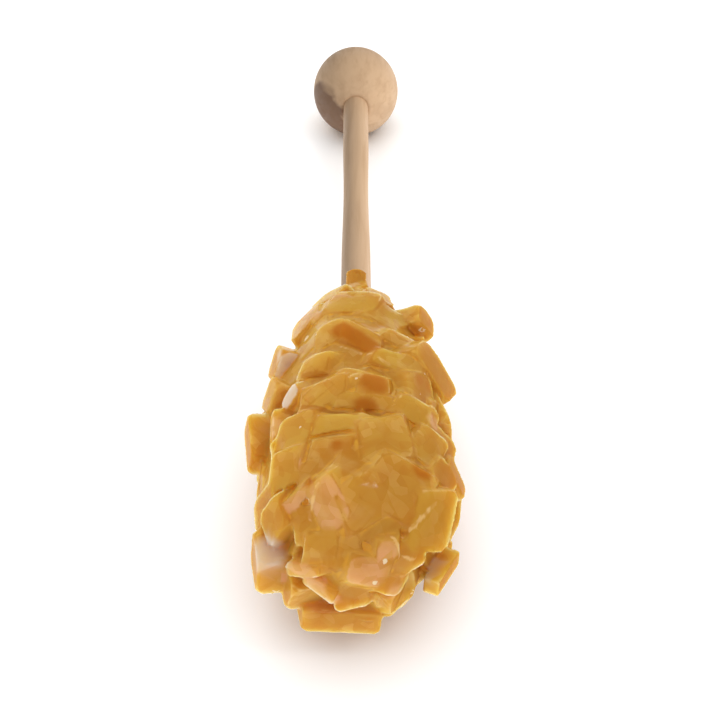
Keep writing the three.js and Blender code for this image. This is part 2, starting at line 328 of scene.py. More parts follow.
def sugar_marks(tree, place, colour, chip, cloud, haze):
    """The colour with the stored marks over it, among them painted reflections and painted highlight lines,
    with painted shade that deepens the flanks, and the deeper tongue.
    """
    colour = mixed(tree, ranged(tree, attribute(tree, "yellow"), 0.0, 0.8, 0.0, 0.5), colour, LEMON)
    # Painted shade: the faces turned to the sides are made a deeper orange
    colour = mixed(tree, ranged(tree, attribute(tree, "flank_shade"), 0.0, 0.8, 0.0, 0.75), colour, FLANK_SHADE)
    colour = mixed(tree, ranged(tree, attribute(tree, "warm"), 0.1, 0.9), colour, ORANGE)
    colour = mixed(tree, attribute(tree, "tongue"), colour, CARAMEL)
    # Painted reflections: pale pink patches, broken up by the clouds and the chips
    pink_reflection = ranged(tree, attribute(tree, "pink_reflection"), 0.1, 0.8)
    veil = product(tree, pink_reflection, ranged(tree, cloud, 0.3, 0.65, 1.0, 0.5))
    patchy = product(tree, veil, ranged(tree, chip[2], 0.25, 0.85, 1.0, 0.5))
    colour = mixed(tree, patchy, colour, PINK_REFLECTION)
    colour = mixed(tree, ranged(tree, attribute(tree, "crack"), 0.1, 0.7, 0.0, 0.7), colour, CRACK)
    # Painted highlight lines along the rims, broken by gaps
    pale = ranged(tree, attribute(tree, "pale"), 0.15, 0.9, 0.0, 0.6)
    gaps = ranged(tree, noise(tree, place, 700, detail=1), 0.4, 0.56, 0.25, 1.0)
    colour = mixed(tree, product(tree, pale, gaps), colour, RIM_HIGHLIGHT)
    # Painted white reflections, where the stored clear value is high, softened by the haze
    clear = ranged(tree, attribute(tree, "clear"), 0.1, 0.8)
    white = product(tree, clear, ranged(tree, haze, 0.35, 0.6, 0.95, 0.55))
    return mixed(tree, white, colour, WHITE_REFLECTION)


def sugar_bump(tree, bent, cells, ripple):
    """Fine relief: every cell's surface leans its own way, over soft ripples."""
    aside = add_node(tree, "ShaderNodeVectorMath", {
        0: bent, 1: cells.outputs["Position"],
    }, operation="SUBTRACT").outputs[0]
    lean = add_node(tree, "ShaderNodeVectorMath", {
        0: cells.outputs["Color"], 1: (0.5, 0.5, 0.5),
    }, operation="SUBTRACT").outputs[0]
    tilt = add_node(tree, "ShaderNodeVectorMath", {0: aside, 1: lean}, operation="DOT_PRODUCT")
    soft = add_node(tree, "ShaderNodeBump", {"Strength": 0.12, "Distance": 0.3 * MM, "Height": ripple})
    bump = add_node(tree, "ShaderNodeBump", {
        "Strength": 1.0, "Distance": 0.12, "Height": tilt.outputs["Value"], "Normal": soft.outputs["Normal"],
    })
    return bump.outputs["Normal"]


def painted_glints(tree, place):
    """Where the painted glints lie, broken into tiny bright grains."""
    grains = noise(tree, place, 1100, detail=2, distortion=1.0)
    crumbled = add_node(tree, "ShaderNodeMath", {
        0: ranged(tree, attribute(tree, "glint"), 0.0, 1.0, -0.55, 0.06), 1: grains,
    }, operation="ADD").outputs[0]
    return ranged(tree, crumbled, 0.5, 0.58, 0.0, 0.85)


def sugar_material(settings):
    """Cloudy amber sugar, grown together from small cells."""
    material = new_material("amber_sugar")
    tree = material.node_tree
    place = tree.nodes.new("ShaderNodeTexCoord").outputs["Object"]
    warp = add_node(tree, "ShaderNodeTexNoise", {"Vector": place, "Scale": 140.0, "Detail": 1.0})
    bent = add_node(tree, "ShaderNodeVectorMath", {
        0: warp.outputs["Color"], 1: (3 * MM, 3 * MM, 3 * MM), 2: place,
    }, operation="MULTIPLY_ADD").outputs[0]
    cells = add_node(tree, "ShaderNodeTexVoronoi", {"Vector": bent, "Scale": 300.0})
    shards = add_node(tree, "ShaderNodeTexVoronoi", {"Vector": bent, "Scale": 720.0})
    chance, chip = cell_numbers(tree, cells), cell_numbers(tree, shards)
    cloud = noise(tree, place, 160, detail=4, roughness=0.55, distortion=0.6)
    streak = noise(tree, place, 420, detail=2, distortion=1.5)
    elsewhere = add_node(tree, "ShaderNodeVectorMath", {0: place, 1: (0.37, 0.11, 0.73)}, operation="ADD")
    haze = noise(tree, elsewhere.outputs[0], 130, detail=3, distortion=1.2)
    inside = sugar_inside(tree, settings, place, chance, chip, cloud, haze)
    colour = sugar_marks(tree, place, sugar_relief(tree, place, inside), chip, cloud, haze)
    ripple = add_node(tree, "ShaderNodeMath", {0: cloud, 1: streak}, operation="ADD").outputs[0]
    normal = sugar_bump(tree, bent, cells, ripple)
    shader = add_node(tree, "ShaderNodeBsdfPrincipled", {
        "Base Color": colour,
        "Roughness": 0.2,
        "IOR": 1.2,
        "Specular IOR Level": 0.0,
        "Coat Weight": ranged(tree, attribute(tree, "flank_shade"), 0.0, 0.8, 0.6, 0.2),
        "Coat Roughness": 0.08,
        "Coat IOR": 1.25,
        "Subsurface Weight": 1.0,
        "Subsurface Radius": (1.0, 0.85, 0.55),
        "Subsurface Scale": ranged(tree, attribute(tree, "tongue"), 0.0, 0.6, 6 * MM, 1 * MM),
        "Normal": normal,
        "Coat Normal": normal,
    }, subsurface_method="RANDOM_WALK")
    # Painted glints: a pale plain diffuse surface is mixed in where they lie
    glint_surface = add_node(tree, "ShaderNodeBsdfDiffuse", {"Color": PAINTED_GLINT})
    finish_material(tree, add_node(tree, "ShaderNodeMixShader", {
        0: painted_glints(tree, place), 1: shader.outputs[0], 2: glint_surface.outputs[0],
    }))
    return material


def wood_material(name, settings, stretch, ring_scale, shade_patch=None):
    """Bare pale wood with fine grain that runs along +Y, and, where a place is given, painted shade: darker
    round that place.
    """
    material = new_material(name)
    tree = material.node_tree
    place = tree.nodes.new("ShaderNodeTexCoord").outputs["Object"]
    along = add_node(tree, "ShaderNodeMapping", {"Vector": place, "Scale": (1.0, stretch, 1.0)}).outputs[0]
    grain = noise(tree, along, 900, detail=5, roughness=0.6, distortion=0.3)
    bands = noise(tree, along, ring_scale, detail=2, distortion=0.8)
    stain = noise(tree, place, 70, detail=2)
    base = mixed(tree, ranged(tree, grain, 0.42, 0.75, 0.0, 0.55), rgba(settings.pale), rgba(settings.dark))
    banded = mixed(tree, ranged(tree, bands, 0.45, 0.7, 0.0, 0.45), base, rgba(settings.dark))
    warmed = mixed(tree, ranged(tree, stain, 0.4, 0.7, 0.0, 0.25), banded, STAINED_WOOD)
    # Painted shade: darker wood round the given place, with a ragged border
    if shade_patch:
        middle, reach = shade_patch
        away = add_node(tree, "ShaderNodeVectorMath", {0: place, 1: middle}, operation="DISTANCE")
        ragged = add_node(tree, "ShaderNodeMath", {
            0: bands, 1: 4 * MM, 2: away.outputs["Value"],
        }, operation="MULTIPLY_ADD").outputs[0]
        darker = ranged(tree, ragged, reach + 2.6 * MM, reach + 1.4 * MM, 0.0, 0.92)
        warmed = mixed(tree, darker, warmed, rgba(settings.shade_patch))
    bump = add_node(tree, "ShaderNodeBump", {"Strength": 0.2, "Distance": 0.06 * MM, "Height": grain})
    shader = add_node(tree, "ShaderNodeBsdfPrincipled", {
        "Base Color": warmed,
        "Roughness": ranged(tree, grain, 0.3, 0.7, 0.5, 0.68),
        "Normal": bump.outputs["Normal"],
    })
    finish_material(tree, shader)
    return material


def floor_material(settings):
    """A plain matt floor."""
    material = new_material("pale_floor")
    tree = material.node_tree
    shader = add_node(tree, "ShaderNodeBsdfPrincipled", {
        "Base Color": rgba(settings.floor_colour), "Roughness": 0.85, "Specular IOR Level": 0.2,
    })
    finish_material(tree, shader)
    return material


# ---- Mesh helpers ----

def new_object(name, mesh):
    """A mesh object in the scene."""
    thing = bpy.data.objects.new(name, mesh)
    bpy.context.scene.collection.objects.link(thing)
    return thing


def settled(thing, modifier):
    """Turns an object with one modifier into a plain mesh object."""
    depsgraph = bpy.context.evaluated_depsgraph_get()
    mesh = bpy.data.meshes.new_from_object(thing.evaluated_get(depsgraph))
    thing.modifiers.remove(modifier)
    old = thing.data
    thing.data = mesh
    bpy.data.meshes.remove(old)
    return thing


def surface_tree(mesh):
    """A search tree for the nearest place on a mesh."""
    return BVHTree.FromPolygons([v.co for v in mesh.vertices], [p.vertices[:] for p in mesh.polygons])


def smooth_shaded(mesh, material):
    """Gives a mesh one material and smooth shading."""
    mesh.materials.clear()
    mesh.materials.append(material)
    mesh.polygons.foreach_set("use_smooth", [True] * len(mesh.polygons))
    mesh.polygons.foreach_set("material_index", [0] * len(mesh.polygons))
    mesh.update()


def hand_over(piece, node):
    """Says what a finished piece stands for."""
    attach(piece, ROOT)
    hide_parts(node)


# ---- The sugar ----

def merged_solid(node):
    """A copy of a solid's mesh with its loose triangles joined."""
    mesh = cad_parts[node].data.copy()
    work = bmesh.new()
    work.from_mesh(mesh)
    bmesh.ops.remove_doubles(work, verts=work.verts, dist=0.002 * MM)
    work.to_mesh(mesh)
    work.free()
    mesh.materials.clear()
    return mesh


def add_dowel_filling(mesh):
    """Closes the room round the dowel, so that the sugar grips it, and lays the tongue of sugar onto it."""
    work = bmesh.new()
    work.from_mesh(mesh)
    radius = DOWEL_WIDTH / 2
    turn = DOWEL_WAY.to_track_quat("Z", "Y").to_matrix().to_4x4()
    neck = DOWEL_START.y - CANDY_HIGH.y  # from the dowel's start to the sugar's first edge
    start, end = neck + 6 * MM, (DOWEL_START.y - DOWEL_LOW.y) + 1 * MM
    bmesh.ops.create_cone(
        work, cap_ends=True, segments=32, radius1=radius + 0.6 * MM, radius2=radius + 0.6 * MM,
        depth=end - start, matrix=Matrix.Translation(DOWEL_START + DOWEL_WAY * (start + end) / 2) @ turn,
    )
    tongue_length = 4.4 * MM
    lift = Vector((0.2 * MM, 0, radius - 0.9 * MM))
    middle = DOWEL_START + DOWEL_WAY * (neck + 0.9 * MM + tongue_length) + lift
    bmesh.ops.create_uvsphere(
        work, u_segments=24, v_segments=16, radius=1,
        matrix=Matrix.Translation(middle) @ turn @ Matrix.Diagonal((1.95 * MM, 1.4 * MM, tongue_length, 1)),
    )
    work.to_mesh(mesh)
    work.free()


def scatter_tree(name, block, tilt, shares):
    """Geometry nodes that scatter small blocks over a surface, fewer where "hollow" is low."""
    tree = bpy.data.node_groups.new(name, "GeometryNodeTree")
    face = tree.interface
    face.new_socket("Geometry", in_out="INPUT", socket_type="NodeSocketGeometry")
    names = {}
    for label, kind in (("Size", "Float"), ("Spacing", "Float"), ("Seed", "Int")):
        socket = face.new_socket(label, in_out="INPUT", socket_type="NodeSocket" + kind)
        names[label] = socket.identifier
    face.new_socket("Geometry", in_out="OUTPUT", socket_type="NodeSocketGeometry")
    entry = tree.nodes.new("NodeGroupInput").outputs
    where = add_node(tree, "GeometryNodeInputNamedAttribute", {"Name": "hollow"}, data_type="FLOAT")
    spread = add_node(tree, "GeometryNodeDistributePointsOnFaces", {
        "Mesh": entry["Geometry"], "Distance Min": entry["Spacing"], "Density Max": 6.0e5,
        "Density Factor": where.outputs["Attribute"], "Seed": entry["Seed"],
    }, distribute_method="POISSON")
    shape = add_node(tree, "GeometryNodeMeshCube", {"Size": block})
    turn = add_node(tree, "FunctionNodeRandomValue", {
        0: (-tilt, -tilt, -math.pi), 1: (tilt, tilt, math.pi), "Seed": entry["Seed"],
    }, data_type="FLOAT_VECTOR")
    turned = add_node(tree, "FunctionNodeRotateRotation", {
        "Rotation": spread.outputs["Rotation"], "Rotate By": turn.outputs[0],
    }, rotation_space="LOCAL")
    share = add_node(tree, "FunctionNodeRandomValue", {
        2: shares[0], 3: shares[1], "Seed": entry["Seed"],
    }, data_type="FLOAT")
    size = add_node(tree, "ShaderNodeMath", {0: share.outputs[1], 1: entry["Size"]}, operation="MULTIPLY")
    placed = add_node(tree, "GeometryNodeInstanceOnPoints", {
        "Points": spread.outputs["Points"], "Instance": shape.outputs["Mesh"],
        "Rotation": turned.outputs[0], "Scale": size.outputs[0],
    })
    real = add_node(tree, "GeometryNodeRealizeInstances", {"Geometry": placed.outputs[0]})
    painted = add_node(tree, "GeometryNodeSetMaterial", {"Geometry": real.outputs[0]})
    painted.inputs["Material"].default_value = bpy.data.materials["amber_sugar"]
    tree.links.new(painted.outputs[0], tree.nodes.new("NodeGroupOutput").inputs[0])
    return tree, names


def scattered(mesh, tree_and_names, size, spacing, seed):
    """The mesh that a scatter tree makes over another."""
    tree, names = tree_and_names
    thing = new_object(tree.name, mesh.copy())
    modifier = thing.modifiers.new(tree.name, "NODES")
    modifier.node_group = tree
    modifier[names["Size"]] = size
    modifier[names["Spacing"]] = spacing
    modifier[names["Seed"]] = seed
    blocks = settled(thing, modifier).data
    bpy.data.objects.remove(thing)
    return blocks


def joined(meshes):
    """One mesh made of several."""
    work = bmesh.new()
    for mesh in meshes:
        work.from_mesh(mesh)
    whole = bpy.data.meshes.new("joined")
    work.to_mesh(whole)
    work.free()
    return whole


def fused(thing, step):
    """Joins everything in an object into one closed skin."""
    modifier = thing.modifiers.new("Fuse", "REMESH")
    modifier.mode = "VOXEL"
    modifier.voxel_size = step
    return settled(thing, modifier)


def thinned(thing, most):
    """Takes out points where the skin is flat, until at most the given number of triangles is left."""
    thing.data.calc_loop_triangles()
    modifier = thing.modifiers.new("Thin", "DECIMATE")
    modifier.ratio = min(1.0, most / len(thing.data.loop_triangles))
    modifier.use_collapse_triangulate = True
    return settled(thing, modifier)


def mesh_arrays(mesh):
    """A mesh's points, its edges as pairs of points, and its point normals."""
    points = np.empty(len(mesh.vertices) * 3)
    normals = np.empty(len(mesh.vertices) * 3)
    pairs = np.empty(len(mesh.edges) * 2, dtype=int)
    mesh.vertices.foreach_get("co", points)
    mesh.vertices.foreach_get("normal", normals)
    mesh.edges.foreach_get("vertices", pairs)
    return points.reshape(-1, 3), pairs.reshape(-1, 2), normals.reshape(-1, 3)


def eased(points, pairs, passes, share=0.5):
    """Moves each point towards the middle of its neighbours, a number of times."""
    count = np.bincount(pairs.ravel(), minlength=len(points)).astype(float)[:, None]
    for _ in range(passes):
        total = np.zeros_like(points)
        for axis in range(points.shape[1]):
            total[:, axis] = np.bincount(pairs[:, 0], points[pairs[:, 1], axis], len(points))
            total[:, axis] += np.bincount(pairs[:, 1], points[pairs[:, 0], axis], len(points))
        points = points + share * (total / np.maximum(count, 1) - points)
    return points


def pressed(points, rounded, share):
    """Takes some of the relief off the uppermost side, where the crystals have grown into one another.

    The points move towards the nearest places on a rounded copy of the candy.
    """
    tree = surface_tree(rounded)
    nearest = np.array([tree.find_nearest(Vector(point))[0] for point in points])
    side_angle, side_blend = 62, 30  # in degrees from the top
    neck_end, neck_blend = 6, 4  # in millimetres
    share = share * np.clip((side_angle - np.abs(candy_angles(points))) / side_blend, 0, 1)
    share = share * np.clip((from_neck(points) - neck_end) / neck_blend, 0, 1)
    return points + share[:, None] * (nearest - points)


def nearest_numbers(known, points):
    """The number of the known point nearest to each of the others."""
    tree = KDTree(len(known))
    for number, point in enumerate(known):
        tree.insert(point, number)
    tree.balance()
    return np.array([tree.find(point)[1] for point in points])


def bulge(points, pairs, normals, passes):
    """How far each point stands out from its eased surroundings, in millimetres: below zero in a hollow."""
    return np.sum((points - eased(points, pairs, passes)) * normals, axis=1) / MM


class Facets:
    """The flat faces of the candy's solid, each with a number, for giving every face its own look.

    Triangles are one face where their planes lie within a small step and their normals are nearly the same.
    """

    def __init__(self, solid):
        normals = np.empty(len(solid.polygons) * 3)
        middles = np.empty(len(solid.polygons) * 3)
        solid.polygons.foreach_get("normal", normals)
        solid.polygons.foreach_get("center", middles)
        normals, middles = normals.reshape(-1, 3), middles.reshape(-1, 3)
        plane_step, normal_steps = 0.2 * MM, 12
        offset = np.sum(normals * middles, axis=1) / plane_step
        keys = np.column_stack([np.round(normals * normal_steps), np.round(offset)]).astype(int)
        _, plane = np.unique(keys, axis=0, return_inverse=True)
        self.plane = plane.ravel()
        self.tree = surface_tree(solid)

    def under(self, points):
        """The number of the flat face nearest to each point."""
        return np.array([self.plane[self.tree.find_nearest(Vector(p))[2]] for p in points])

    def patched(self, points, under, patches, over_edges=False):
        """How far each point lies inside one of the patches, from 0 to 1.

        A patch ends at its own face's edges, unless it runs over them.
        """
        share = np.zeros(len(points))
        for along, around, out, radius in patches:
            middle = on_candy(along * MM, around, out * MM)
            face = self.plane[self.tree.find_nearest(middle)[2]]
            away = np.linalg.norm(points - np.array(middle), axis=1) / (radius * MM)
            inside = over_edges | (under == face)
            share = np.maximum(share, np.where(inside, faded(away), 0))
        return share


def faded(away):
    """The strength of a mark, from its middle, where away is 0, to its border, where it is 1."""
    return np.clip(1.6 - 1.6 * away, 0, 1)


def stroked(points, strokes):
    """How far each point lies inside one of the strokes, from 0 to 1. They are laid on from outside."""
    deepest = 2.5 * MM
    share = np.zeros(len(points))
    for along, around, out, to_along, to_around, to_out, width in strokes:
        start = np.array(on_candy(along * MM, around, out * MM))
        way = np.array(on_candy(to_along * MM, to_around, to_out * MM)) - start
        outwards = start + way / 2 - np.array(on_candy((along + to_along) / 2 * MM, 0, 0))
        outwards /= np.linalg.norm(outwards)
        aside = points - start
        place = np.clip(aside @ way / (way @ way), 0, 1)
        aside = aside - place[:, None] * way
        depth = aside @ outwards
        away = np.linalg.norm(aside - depth[:, None] * outwards, axis=1) / (width * MM)
        share = np.maximum(share, np.where(np.abs(depth) < deepest, faded(away), 0))
    return share


# Marks on the candy. A patch has its place, as distance from the neck towards the tip, angle from the top
# towards +X and distance out, and its own radius. A stroke runs from one such place to another and has its
# own half width. All are in millimetres and degrees.

# Where the inside of the sugar shows as a deeper orange: patches on one face, patches over edges, and strokes
WINDOWS = ((33.5, 10, 13, 2.8), (29, 50, 12, 1.6), (44.5, -10, 13.5, 1.2))
STAINS = (
    (37.5, 5, 12.5, 2.2), (46.5, 35, 13.5, 2), (11.5, -55, 9, 1.4), (29.5, 40, 12.5, 1.2),
    (56.5, -100, 4, 1.4), (48.5, -25, 13, 1.6), (56, -130, 5, 1.6),
)
SLITS = ((21.5, -10, 11.5, 25, 10, 11.5, 1.9),)
# Painted pale pink reflections: patches on one face, patches over edges, and strokes
PINK_REFLECTION_FACES = (
    (50, -35, 12, 3), (52, -15, 12, 4.6), (57.5, 5, 6, 4), (56, 25, 8.5, 2.2), (55.5, -135, 4.5, 4),
    (46, -30, 13, 1.6),
)
PINK_REFLECTION_SPOTS = ((37, 45, 13.5, 1.5), (37, -50, 13.5, 2), (14.5, -35, 10, 1.6), (57, 60, 4.5, 1.6), (53, -85, 9, 2))
PINK_REFLECTION_STREAKS = ((55, -60, 9, 56.5, -50, 7, 1), (56.5, -50, 7, 57, -70, 4.5, 1.3))
# Painted white reflections: patches on one face, and patches over edges
WHITE_REFLECTION_FACES = ((22, -55, 11.5, 4), (32, -40, 13, 4.4))
WHITE_REFLECTION_SPOTS = (
    (53, -70, 11, 3), (52, -65, 11.5, 1.2), (52, 85, 9.5, 1.1), (53, 85, 9, 1.1), (54, 85, 8.5, 0.9),
    (21, -60, 12, 1.4),
)
# Where it is most yellow: patches on one face
YELLOW = (
    (14.5, 45, 9.5, 4), (36.5, 35, 13, 4), (40.5, -10, 13.5, 4), (54, -90, 9, 3), (52, 45, 11, 6),
    (14.5, 0, 9.5, 5), (27.5, 20, 12, 3), (53.5, 85, 9.5, 3),
)
# Painted glints, tiny and bright, on corners: patches over edges
GLINTS = (
    (16, -35, 9.5, 0.9), (18, -45, 9.5, 1), (20, -30, 11, 0.8), (14.5, 60, 10.5, 0.9), (33, 0, 13, 0.5),
    (34.5, -70, 12, 0.7), (40, -30, 13.5, 0.6), (54, -100, 9.5, 0.8), (58, 25, 5, 0.7),
    (54.5, 100, 6.5, 0.7), (27.5, 45, 12.5, 0.5), (29, 15, 12, 0.6), (49.5, -15, 14.5, 0.6),
    (56.5, 25, 7.5, 0.8), (26.5, 70, 13, 0.7), (32, 40, 12.5, 0.6), (52.5, 60, 9.5, 0.6),
)
# Painted highlight lines along rims, and rust-coloured cracks: strokes
HIGHLIGHT_RIMS = (
    (24, -10, 11, 26, 5, 11, 0.2), (26, 5, 11, 28, 15, 12.5, 0.35), (28, 15, 12.5, 28.5, 20, 12, 0.35),
    (33, -5, 12.5, 32, 0, 13, 0.3), (53.5, 35, 10, 50, 45, 12.5, 0.35),
    (55.5, -130, 4.5, 57.5, -85, 0.5, 0.3), (54.5, 25, 9.5, 55.5, 35, 9, 0.3),
    (55.5, 35, 9, 55, 50, 8, 0.3), (50, -20, 13.5, 52, -30, 10.5, 0.35),
)
CRACKS = (
    (29, -35, 12, 30, -20, 11.5, 0.5), (34.5, -45, 12.5, 37.5, -20, 13, 0.5),
    (37.5, -20, 13, 39, 0, 13.5, 0.6),
)

# The stored value of each kind of mark: its patches on one face, its patches over edges, its strokes, and
# how many times its borders are eased
MARKS = {
    "warm": (WINDOWS, STAINS, SLITS, 3),
    "pink_reflection": (PINK_REFLECTION_FACES, PINK_REFLECTION_SPOTS, PINK_REFLECTION_STREAKS, 3),
    "clear": (WHITE_REFLECTION_FACES, WHITE_REFLECTION_SPOTS, (), 4),
    "yellow": (YELLOW, (), (), 4),
    "glint": ((), GLINTS, (), 0),
    "pale": ((), (), HIGHLIGHT_RIMS, 0),
    "crack": ((), (), CRACKS, 1),
}


def on_candy(along, around, out):
    """A place by its distance from the neck towards the tip, its angle from the top and its distance out."""
    up = Vector((0, DOWEL_WAY.z, -DOWEL_WAY.y))
    angle = math.radians(around)
    outwards = up * math.cos(angle) + Vector((1, 0, 0)) * math.sin(angle)
    return CANDY_START + DOWEL_WAY * along + outwards * out


def from_neck(points):
    """Each point's distance from the candy's neck towards its tip, in millimetres."""
    return (points - np.array(CANDY_START)) @ np.array(DOWEL_WAY) / MM


def candy_angles(points):
    """Each point's angle about the dowel in degrees, from the top towards +X."""
    aside = points - np.array(CANDY_START)
    up = aside[:, 1] * DOWEL_WAY.z - aside[:, 2] * DOWEL_WAY.y
    return np.degrees(np.arctan2(aside[:, 0], up))


def store(mesh, name, values):
    """Stores a value at each point of a mesh."""
    layer = mesh.attributes.new(name, "FLOAT", "POINT")
    layer.data.foreach_set("value", np.ascontiguousarray(values, dtype=np.float32))


def grown_over(body, settings):
    """Thin growth steps for a body's faces, small crystals for its hollows, and a rounded copy of it."""
    rough = fused(new_object("rough_candy", body.copy()), 0.45 * MM)
    points, pairs, normals = mesh_arrays(rough.data)
    dent = bulge(points, pairs, normals, passes=20)
    store(rough.data, "hollow", np.clip(0.3 - 2.0 * np.abs(dent), 0.0, 1.0))
    steps = scatter_tree("growth_steps", (1.0, 0.62, 0.16), 0.05, (0.45, 1.2))
    plates = scattered(rough.data, steps, settings.plate_size, settings.plate_spacing, settings.seed)
    dent = bulge(points, pairs, normals, passes=40)
    hollow = rough.data.attributes["hollow"].data
    hollow.foreach_set("value", np.clip(-1.5 * dent - 0.4, 0.0, 1.0).astype(np.float32))
    chips = scatter_tree("small_crystals", (1.0, 1.3, 0.8), 0.5, (0.5, 1.3))
    grown = scattered(rough.data, chips, settings.chip_size, settings.chip_spacing, settings.seed)
    rounded = rough.data
    rounded.vertices.foreach_set("co", eased(points, pairs, passes=70).ravel())
    rounded.update()
    bpy.data.objects.remove(rough)
    return plates, grown, rounded


def store_marks(mesh, pairs, facets, under, before):
    """Stores each kind of mark, by where the points were before the relief was taken off."""
    for name, (on_faces, over_edges, strokes, passes) in MARKS.items():
        share = np.maximum(
            facets.patched(before, under, on_faces),
            facets.patched(before, under, over_edges, over_edges=True),
        )
        share = np.maximum(share, stroked(before, strokes))
        store(mesh, name, eased(share[:, None], pairs, passes)[:, 0])


def make_sugar(settings):
    """The sugar: its solid with small crystals fused on, flatter on top, and its colours' places stored."""
    material = sugar_material(settings)
    solid = merged_solid("candy")
    body = solid.copy()
    add_dowel_filling(body)
    plates, grown, rounded = grown_over(body, settings)
    candy = new_object("candy_crystals", joined([body, plates, grown]))
    fused(candy, settings.grain_step)
    before, pairs, normals = mesh_arrays(candy.data)
    ridge = bulge(before, pairs, normals, passes=8)
    dent = bulge(before, pairs, normals, passes=24)
    soft = eased(pressed(before, rounded, settings.pressing), pairs, settings.softness)
    soft[:, 2] = np.maximum(soft[:, 2], SOLID_LOW.z)
    candy.data.vertices.foreach_set("co", soft.ravel())
    candy.data.update()
    thinned(candy, 190_000)

    mesh = candy.data
    points, pairs, normals = mesh_arrays(mesh)
    was = nearest_numbers(soft, points)
    facets = Facets(solid)
    under = facets.under(before[was])
    tones = np.random.default_rng(settings.seed).random(facets.plane.max() + 1)
    store(mesh, "ridge", np.clip(4 * ridge[was], 0, 1))
    # How far each point lies out of a hollow, low in hollows: it places the painted light there
    store(mesh, "edge", np.clip(0.5 + 1.6 * dent[was], 0, 1))
    store(mesh, "tone", eased(tones[under][:, None], pairs, passes=3)[:, 0])
    # Painted shade on the flanks: faces turned to the right are darkened, those to the left half as much
    right = np.clip((normals[:, 0] - 0.5) / 0.35, 0, 1)
    left = np.clip((-normals[:, 0] - 0.72) / 0.25, 0, 1)
    store(mesh, "flank_shade", np.maximum(0.9 * right, 0.5 * left))
    tongue_end, tongue_blend = 3.5, 1.5  # in millimetres from the neck
    store(mesh, "tongue", np.clip((tongue_end - from_neck(points)) / tongue_blend, 0, 1))
    store_marks(mesh, pairs, facets, under, before[was])
    smooth_shaded(mesh, material)
    bpy.data.meshes.remove(solid)
    hand_over(candy, "candy")


# ---- The wood ----

def make_dowel(settings):
    """The dowel as a turned rod with a slight waist and eased ends."""
    end_gap, end_ease = 0.3 * MM, 0.2 * MM
    length = (DOWEL_START.y - DOWEL_LOW.y) / -DOWEL_WAY.y - end_gap
    radius = DOWEL_WIDTH / 2
    end_radius = radius * 0.9
    waist_from, waist_to, waist_depth = 24 * MM, 60 * MM, 0.2 * MM
    rings = [(0.0, end_radius)]
    steps = 90
    for step in range(steps + 1):
        along = end_ease + (length - 2 * end_ease) * step / steps
        share = min(1.0, max(0.0, (along - waist_from) / (waist_to - waist_from)))
        rings.append((along, radius - waist_depth * math.sin(math.pi * share) ** 2))
    rings.append((length, end_radius))
    mesh = bpy.data.meshes.new("dowel")
    work = bmesh.new()
    turn = DOWEL_WAY.to_track_quat("Z", "Y").to_matrix().to_4x4()
    place = Matrix.Translation(DOWEL_START) @ turn
    sides = 48
    loops = []
    for along, wide in rings:
        ring = []
        for side in range(sides):
            angle = 2 * math.pi * side / sides
            point = Vector((wide * math.cos(angle), wide * math.sin(angle), along))
            ring.append(work.verts.new(place @ point))
        loops.append(ring)
    for near, far in zip(loops, loops[1:]):
        for side in range(sides):
            after = (side + 1) % sides
            work.faces.new((near[side], near[after], far[after], far[side]))
    work.faces.new(loops[0][::-1])
    work.faces.new(loops[-1])
    bmesh.ops.recalc_face_normals(work, faces=work.faces)
    work.to_mesh(mesh)
    work.free()
    dowel = new_object("dowel_rod", mesh)
    smooth_shaded(mesh, wood_material("dowel_wood", settings, stretch=0.06, ring_scale=500))
    hand_over(dowel, "dowel")


def make_ball(settings):
    """The ball, turned smooth, with an eased rim round the dowel and a small flat spot underneath."""
    mesh = bpy.data.meshes.new("ball")
    work = bmesh.new()
    turn = DOWEL_WAY.to_track_quat("Z", "Y").to_matrix().to_4x4()
    stretch = Matrix.Diagonal((BALL_WIDTH / 2, BALL_WIDTH / 2, BALL_LENGTH / 2, 1))
    bmesh.ops.create_uvsphere(
        work, u_segments=96, v_segments=72, radius=1,
        matrix=Matrix.Translation(BALL_MIDDLE) @ turn @ stretch,
    )
    hole, rim_depth = DOWEL_WIDTH / 2, 0.45 * MM
    for vert in work.verts:
        from_start = vert.co - DOWEL_START
        along = from_start.dot(DOWEL_WAY)
        out = (from_start - DOWEL_WAY * along).length
        if along > 0 and out < hole + settings.rim:
            share = 1 - max(0.0, (out - hole * 0.9)) / (settings.rim + hole * 0.1)
            vert.co -= DOWEL_WAY * (rim_depth * min(1.0, share) ** 2)
        vert.co.z = max(vert.co.z, SOLID_LOW.z)
    bmesh.ops.recalc_face_normals(work, faces=work.faces)
    work.to_mesh(mesh)
    work.free()
    ball = new_object("turned_ball", mesh)
    # Painted shade on the ball's lower left, towards the front, on its shaded side
    shade_middle = BALL_MIDDLE + Vector((-0.72, -0.66, -0.2)) * (BALL_WIDTH / 2)
    shade_patch = shade_middle, 5.3 * MM
    smooth_shaded(mesh, wood_material("ball_wood", settings, stretch=0.25, ring_scale=260, shade_patch=shade_patch))
    hand_over(ball, "ball")


# ---- The stage ----

def make_floor(settings):
    """A wide floor at the height on which the candy lies."""
    mesh = bpy.data.meshes.new("floor")
    half, level = 2.0, SOLID_LOW.z
    corners = [(-half, -half, level), (half, -half, level), (half, half, level), (-half, half, level)]
    mesh.from_pydata(corners, [], [(0, 1, 2, 3)])
    mesh.materials.append(floor_material(settings))
    floor = new_object("floor", mesh)


